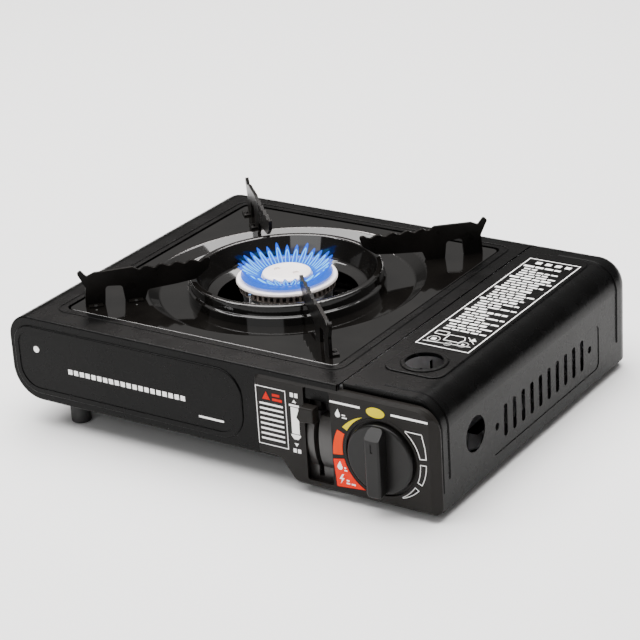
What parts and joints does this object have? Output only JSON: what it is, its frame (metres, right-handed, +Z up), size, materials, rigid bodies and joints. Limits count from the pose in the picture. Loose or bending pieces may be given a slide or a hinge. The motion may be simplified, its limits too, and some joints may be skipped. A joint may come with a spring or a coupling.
{
  "type": "camping stove",
  "caption": "Flat portable gas stove with a round burner on a square enamelled drip plate, toothed pan supports, a hinged cartridge lid and a turning ignition knob.",
  "frame": {"origin": "on the ground, under the middle of the whole stove's box", "axes": "+Z up, -Y towards the knob and the user, +X towards the cartridge side"},
  "size_m": [0.342, 0.286, 0.1078],
  "materials": {
    "satin_black_steel": "satin",
    "black_enamel": "gloss",
    "black_plastic": "matte",
    "knob_plastic": "matte",
    "zinc_steel": "satin",
    "steel_wire": "polished",
    "cast_aluminium": "cast",
    "burner_alloy": "machined",
    "brass": "machined",
    "ceramic": "glazed",
    "black_rubber": "matte",
    "lead_sleeve": "matte"
  },
  "bodies": {
    "root": {"top_shell": "satin_black_steel", "front_panel": "satin_black_steel", "base_pan": "satin_black_steel", "control_fascia": "black_plastic", "lever_shroud": "black_plastic", "igniter_box": "black_plastic", "partition": "zinc_steel", "bay_rear_wall": "zinc_steel", "cartridge_cradle": "zinc_steel", "control_bracket": "zinc_steel", "lever_bracket": "zinc_steel", "burner_bracket": "zinc_steel", "burner_base": "zinc_steel", "burner_stem": "zinc_steel", "heat_plate": "zinc_steel", "base_screws": "zinc_steel", "regulator_screws": "zinc_steel", "lid_hinge_pins": "steel_wire", "lever_pin": "steel_wire", "lever_spring": "steel_wire", "spark_electrode": "steel_wire", "regulator_body": "cast_aluminium", "regulator_cover": "cast_aluminium", "cartridge_socket": "cast_aluminium", "mixing_tube": "cast_aluminium", "burner_cap": "burner_alloy", "burner_hub": "burner_alloy", "burner_slot_ring": "burner_alloy", "gas_pipe": "brass", "injector": "brass", "electrode_insulator": "ceramic", "feet_left": "black_rubber", "feet_right": "black_rubber", "inlet_seal": "black_rubber", "igniter_lead": "lead_sleeve"},
    "lid": {"cartridge_lid": "satin_black_steel"},
    "lever": {"lock_lever": "zinc_steel", "lever_tab": "black_plastic"},
    "carrier": {"cartridge_carrier": "zinc_steel"},
    "knob": {"control_knob": "knob_plastic", "knob_spindle": "steel_wire", "ignition_cam": "black_plastic"},
    "igniter_rod": {"igniter_plunger": "black_plastic"},
    "drip_plate_set": {"drip_plate": "black_enamel", "flame_ring": "black_enamel", "support_rivets": "black_enamel", "pan_support_back_right": "black_enamel", "pan_support_back_left": "black_enamel", "pan_support_front_left": "black_enamel", "pan_support_front_right": "black_enamel"}
  },
  "joints": [
    {"name": "lid_hinge", "type": "hinge", "parent": "root", "child": "lid", "pos_m": [0.1036, 0, 0.078], "axis": [0, -1, 0], "range_deg": [0, 95]},
    {"name": "knob_turn", "type": "hinge", "parent": "root", "child": "knob", "pos_m": [0.13, -0.131, 0.0385], "axis": [0, -1, 0], "range_deg": [0, 145]},
    {"name": "igniter_press", "type": "slide", "parent": "root", "child": "igniter_rod", "axis": [0, 0, 1], "range_m": [0, 0.003]},
    {"name": "lever_swing", "type": "hinge", "parent": "root", "child": "lever", "pos_m": [0.0803, -0.088, 0.038], "axis": [1, 0, 0], "range_deg": [0, 50], "stiffness_Nm_per_rad": 0.04, "springref_deg": -20.05},
    {"name": "carrier_slide", "type": "slide", "parent": "root", "child": "carrier", "axis": [0, -1, 0], "range_m": [0, 0.00839]},
    {"name": "drip_plate_lift", "type": "slide", "parent": "root", "child": "drip_plate_set", "axis": [0, 0, 1], "range_m": [0, 0.06]}
  ],
  "couplings": [
    {"joint": "igniter_press", "follows": "knob_turn", "m_per_rad": 0.0011853},
    {"joint": "carrier_slide", "follows": "lever_swing", "m_per_rad": 0.0096173}
  ]
}
